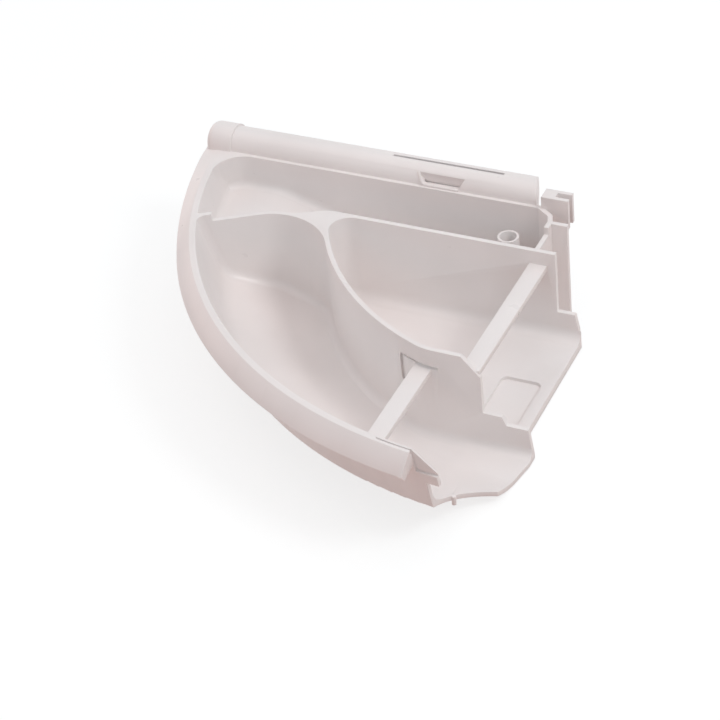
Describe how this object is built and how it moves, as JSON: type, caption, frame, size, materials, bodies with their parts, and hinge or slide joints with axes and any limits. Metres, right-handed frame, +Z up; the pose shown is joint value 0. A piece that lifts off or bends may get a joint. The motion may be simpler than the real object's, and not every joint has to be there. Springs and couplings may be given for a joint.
{
  "type": "detergent dispenser drawer",
  "caption": "Swing-out dispenser drawer for a washing machine, moulded in one piece: softener, prewash and main wash chambers, siphon riser, tie bars and a rolled front grip.",
  "frame": {"origin": "centre of the box in plan, on the plane of the flat base that the drawer stands on", "axes": "+X along the front grip towards the outlet end, +Y out of the machine across the grip, +Z up"},
  "size_m": [0.2098, 0.2006, 0.0616],
  "materials": {
    "white_plastic": "off-white moulded plastic with a soft sheen"
  },
  "bodies": {
    "root": {"drawer_moulding": "white_plastic"}
  },
  "joints": []
}
